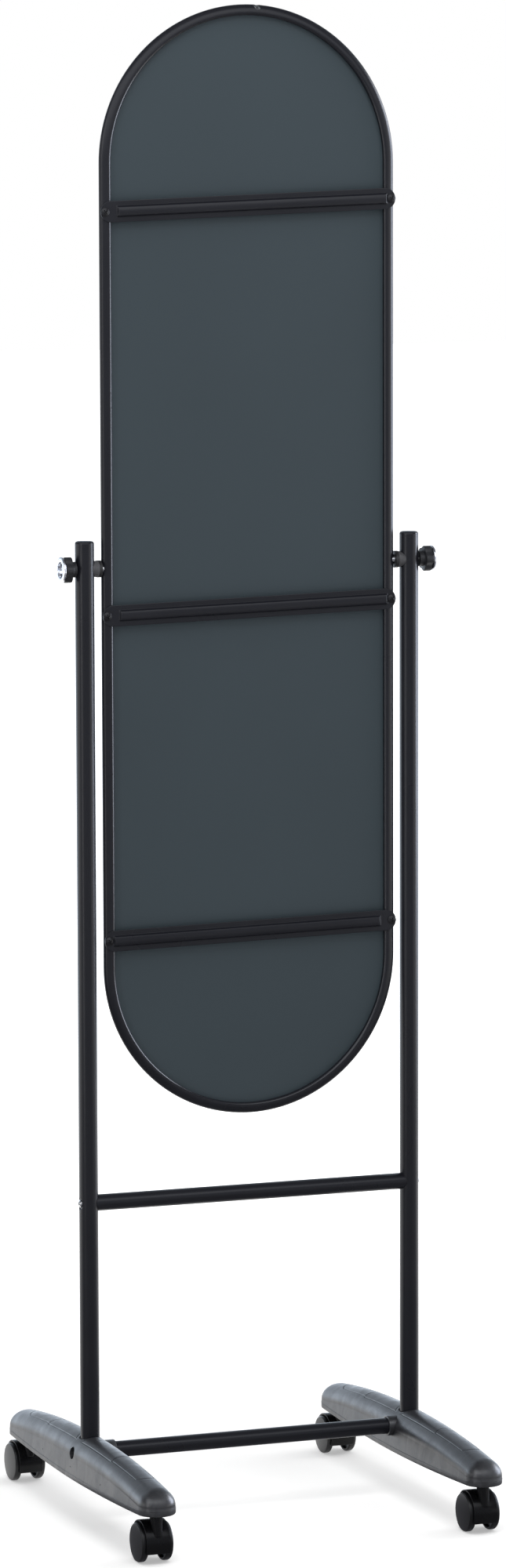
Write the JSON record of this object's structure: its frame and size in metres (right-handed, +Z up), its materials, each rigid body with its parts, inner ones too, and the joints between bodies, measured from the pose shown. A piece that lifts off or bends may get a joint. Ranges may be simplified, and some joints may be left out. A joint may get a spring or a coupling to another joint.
{
  "type": "rolling floor mirror",
  "caption": "Rolling floor mirror: tall oval framed glass that tilts between round tube posts, clamped by side knobs, on arched moulded feet with swivel casters.",
  "frame": {"origin": "on the floor, midway between the two posts", "axes": "+Z up, +X towards the post named left, +Y towards the mirror's back; the glass faces -Y"},
  "size_m": [0.457, 0.5026, 1.7399],
  "materials": {
    "charcoal_coat": "satin powder coat",
    "black_moulding": "fine moulded grain",
    "grey_moulding": "matte",
    "black_rubber": "matte",
    "plated_steel": "plated, slightly worn",
    "black_screw": "black, satin",
    "mirror_glass": "silvered, clear",
    "slate_back": "painted film, satin",
    "bright_cap": "polished",
    "caster_black": "semi-gloss",
    "wheel_grey": "satin"
  },
  "bodies": {
    "stand": {"post_left": "charcoal_coat", "post_right": "charcoal_coat", "post_cap_left": "black_moulding", "post_cap_right": "black_moulding", "upper_crossbar": "charcoal_coat", "lower_bar": "charcoal_coat", "upper_bar_plugs": "grey_moulding", "lower_bar_plugs": "grey_moulding", "upper_bar_screws": "plated_steel", "lower_bar_screws": "plated_steel", "foot_shell_left": "black_moulding", "foot_shell_right": "black_moulding", "foot_tray_left": "black_moulding", "foot_tray_right": "black_moulding", "tray_screws": "plated_steel", "post_plugs": "grey_moulding", "foot_bolts": "plated_steel", "stem_sleeves": "grey_moulding", "pivot_spacer_left": "grey_moulding", "pivot_spacer_right": "grey_moulding", "friction_washers": "black_rubber"},
    "mirror": {"mirror_frame": "charcoal_coat", "mirror_glass": "mirror_glass", "backing_film": "slate_back", "glazing_bead": "black_rubber", "brace_top": "charcoal_coat", "brace_middle": "charcoal_coat", "brace_bottom": "charcoal_coat", "brace_screws": "black_screw", "pivot_inserts": "plated_steel", "frame_joiner": "plated_steel", "frame_joiner_screw": "plated_steel"},
    "knob_left": {"knob_grip_left": "black_moulding", "knob_cap_left": "bright_cap", "knob_stud_left": "plated_steel"},
    "knob_right": {"knob_grip_right": "black_moulding", "knob_cap_right": "bright_cap", "knob_stud_right": "plated_steel"},
    "swivel_left_back": {"hood_left_back": "caster_black", "stem_left_back": "plated_steel", "axle_left_back": "plated_steel"},
    "wheel_left_back_outer": {"wheel_left_back_outer": "wheel_grey"},
    "wheel_left_back_inner": {"wheel_left_back_inner": "wheel_grey"},
    "swivel_left_front": {"hood_left_front": "caster_black", "stem_left_front": "plated_steel", "axle_left_front": "plated_steel"},
    "wheel_left_front_outer": {"wheel_left_front_outer": "wheel_grey"},
    "wheel_left_front_inner": {"wheel_left_front_inner": "wheel_grey"},
    "swivel_right_back": {"hood_right_back": "caster_black", "stem_right_back": "plated_steel", "axle_right_back": "plated_steel"},
    "wheel_right_back_outer": {"wheel_right_back_outer": "wheel_grey"},
    "wheel_right_back_inner": {"wheel_right_back_inner": "wheel_grey"},
    "swivel_right_front": {"hood_right_front": "caster_black", "stem_right_front": "plated_steel", "axle_right_front": "plated_steel"},
    "wheel_right_front_outer": {"wheel_right_front_outer": "wheel_grey"},
    "wheel_right_front_inner": {"wheel_right_front_inner": "wheel_grey"}
  },
  "joints": [
    {"name": "mirror_tilt", "type": "hinge", "parent": "stand", "child": "mirror", "pos_m": [0, 0, 1.103], "axis": [1, 0, 0], "continuous": true},
    {"name": "knob_left_turn", "type": "hinge", "parent": "mirror", "child": "knob_left", "pos_m": [0.2163, 0, 1.103], "axis": [1, 0, 0], "continuous": true},
    {"name": "knob_right_turn", "type": "hinge", "parent": "mirror", "child": "knob_right", "pos_m": [-0.2163, 0, 1.103], "axis": [1, 0, 0], "continuous": true},
    {"name": "swivel_left_back_turn", "type": "hinge", "parent": "stand", "child": "swivel_left_back", "pos_m": [0.199, 0.22, 0.05], "axis": [0, 0, 1], "continuous": true},
    {"name": "wheel_left_back_outer_roll", "type": "hinge", "parent": "swivel_left_back", "child": "wheel_left_back_outer", "pos_m": [0.2135, 0.205, 0.0225], "axis": [1, 0, 0], "continuous": true},
    {"name": "wheel_left_back_inner_roll", "type": "hinge", "parent": "swivel_left_back", "child": "wheel_left_back_inner", "pos_m": [0.1845, 0.205, 0.0225], "axis": [1, 0, 0], "continuous": true},
    {"name": "swivel_left_front_turn", "type": "hinge", "parent": "stand", "child": "swivel_left_front", "pos_m": [0.199, -0.22, 0.05], "axis": [0, 0, 1], "continuous": true},
    {"name": "wheel_left_front_outer_roll", "type": "hinge", "parent": "swivel_left_front", "child": "wheel_left_front_outer", "pos_m": [0.2135, -0.235, 0.0225], "axis": [1, 0, 0], "continuous": true},
    {"name": "wheel_left_front_inner_roll", "type": "hinge", "parent": "swivel_left_front", "child": "wheel_left_front_inner", "pos_m": [0.1845, -0.235, 0.0225], "axis": [1, 0, 0], "continuous": true},
    {"name": "swivel_right_back_turn", "type": "hinge", "parent": "stand", "child": "swivel_right_back", "pos_m": [-0.199, 0.22, 0.05], "axis": [0, 0, 1], "continuous": true},
    {"name": "wheel_right_back_outer_roll", "type": "hinge", "parent": "swivel_right_back", "child": "wheel_right_back_outer", "pos_m": [-0.2135, 0.205, 0.0225], "axis": [1, 0, 0], "continuous": true},
    {"name": "wheel_right_back_inner_roll", "type": "hinge", "parent": "swivel_right_back", "child": "wheel_right_back_inner", "pos_m": [-0.1845, 0.205, 0.0225], "axis": [1, 0, 0], "continuous": true},
    {"name": "swivel_right_front_turn", "type": "hinge", "parent": "stand", "child": "swivel_right_front", "pos_m": [-0.199, -0.22, 0.05], "axis": [0, 0, 1], "continuous": true},
    {"name": "wheel_right_front_outer_roll", "type": "hinge", "parent": "swivel_right_front", "child": "wheel_right_front_outer", "pos_m": [-0.2135, -0.235, 0.0225], "axis": [1, 0, 0], "continuous": true},
    {"name": "wheel_right_front_inner_roll", "type": "hinge", "parent": "swivel_right_front", "child": "wheel_right_front_inner", "pos_m": [-0.1845, -0.235, 0.0225], "axis": [1, 0, 0], "continuous": true}
  ]
}
